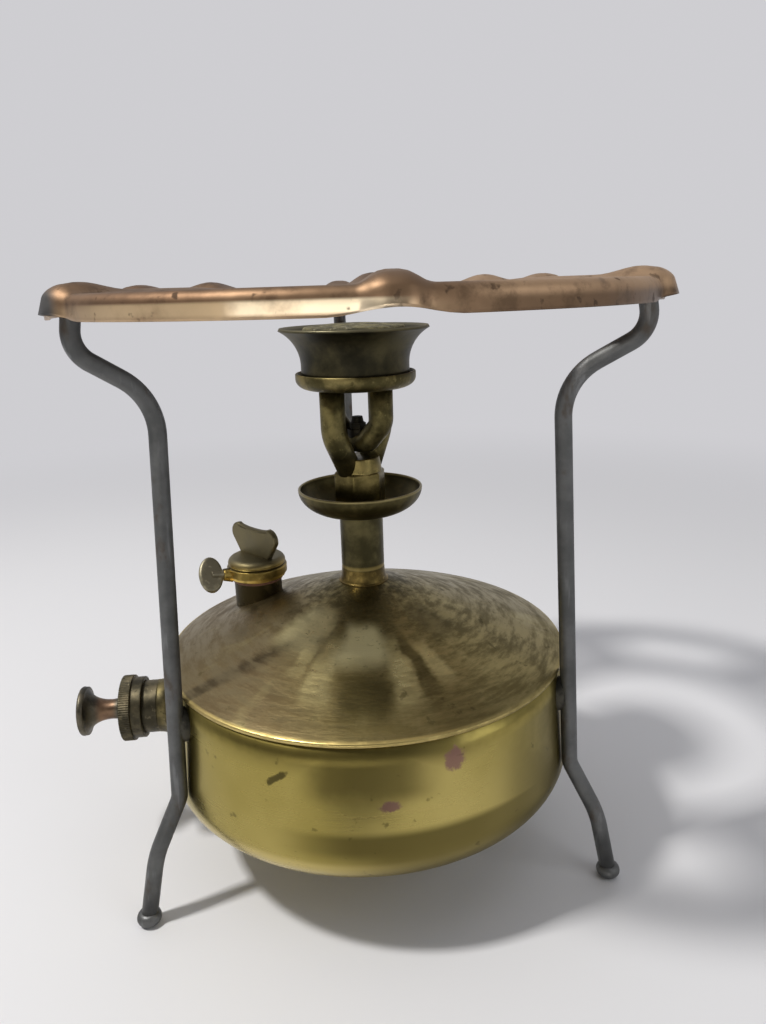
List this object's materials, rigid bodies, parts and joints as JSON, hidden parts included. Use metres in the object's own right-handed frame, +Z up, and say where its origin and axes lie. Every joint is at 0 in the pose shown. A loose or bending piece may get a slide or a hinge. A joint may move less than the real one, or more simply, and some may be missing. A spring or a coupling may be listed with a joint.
{
  "type": "pressure stove",
  "caption": "Brass paraffin pressure stove on bent rod legs: round tank with hand pump and winged filler cap, riser with spirit cup, roaring burner and a pressed pan ring.",
  "frame": {"origin": "on the table, under the middle of the stove's bounding box; the tank's axis stands at x = 4.4 mm", "axes": "+Z up, -Y towards the viewer of the picture, the pump points along -X"},
  "size_m": [0.212, 0.208, 0.2146],
  "materials": {
    "tank_brass": "tarnished and rubbed",
    "dark_brass": "browned by heat",
    "bright_brass": "satin",
    "worn_brass": "dull, worn grey",
    "sooted_brass": "black with soot",
    "steel": "dark, dull",
    "copper_brass": "heat tinted",
    "leather": "oiled",
    "solder": "dull grey"
  },
  "bodies": {
    "stove": {"tank_pan": "tank_brass", "tank_top": "tank_brass", "riser_collar": "tank_brass", "pump_socket": "tank_brass", "riser_tube": "dark_brass", "spirit_cup": "dark_brass", "up_tubes": "dark_brass", "vapour_tube": "dark_brass", "jet_boss": "dark_brass", "burner_head": "dark_brass", "pump_tube": "dark_brass", "filler_neck": "dark_brass", "burner_base": "bright_brass", "pickup_tube": "bright_brass", "valve_body": "bright_brass", "pump_cap": "worn_brass", "jet_nipple": "sooted_brass", "burner_bell": "sooted_brass", "leg_left": "steel", "leg_right": "steel", "leg_back": "steel", "valve_spring": "steel", "leg_solder": "solder", "burner_washer": "solder", "valve_washer": "solder"},
    "plunger": {"pump_rod": "steel", "pump_knob": "worn_brass", "pump_leather": "leather", "leather_disc": "bright_brass", "leather_nut": "bright_brass"},
    "filler_seal": {"filler_gasket": "leather"},
    "filler_cap": {"filler_cap": "worn_brass"},
    "air_screw": {"air_screw": "worn_brass"},
    "valve_pip": {"valve_pip": "leather"},
    "flame_plate": {"flame_plate": "sooted_brass"},
    "pan_ring": {"pan_ring": "copper_brass"}
  },
  "joints": [
    {"name": "plunger_slide", "type": "slide", "parent": "stove", "child": "plunger", "axis": [-1, 0, 0], "range_m": [0, 0.056]},
    {"name": "cap_rise", "type": "slide", "parent": "stove", "child": "filler_seal", "axis": [0, 0, 1], "range_m": [0, 0.0066]},
    {"name": "cap_turn", "type": "hinge", "parent": "filler_seal", "child": "filler_cap", "pos_m": [-0.03714, 0.024, 0.0986], "axis": [0, 0, 1], "range_deg": [0, 1440]},
    {"name": "air_turn", "type": "hinge", "parent": "filler_cap", "child": "air_screw", "pos_m": [-0.04827, 0.01951, 0.10235], "axis": [-0.9131, -0.3689, 0.1736], "range_deg": [0, 720]},
    {"name": "valve_lift", "type": "slide", "parent": "stove", "child": "valve_pip", "axis": [1, 0, 0], "range_m": [0, 0.0015], "stiffness_N_per_m": 200, "deforming": ["valve_spring"]},
    {"name": "plate_lift", "type": "slide", "parent": "stove", "child": "flame_plate", "axis": [0, 0, 1], "range_m": [0, 0.03]},
    {"name": "ring_lift", "type": "slide", "parent": "stove", "child": "pan_ring", "axis": [0, 0, 1], "range_m": [0, 0.04]}
  ],
  "couplings": [
    {"joint": "cap_rise", "follows": "cap_turn", "m_per_rad": 0.00025465}
  ]
}
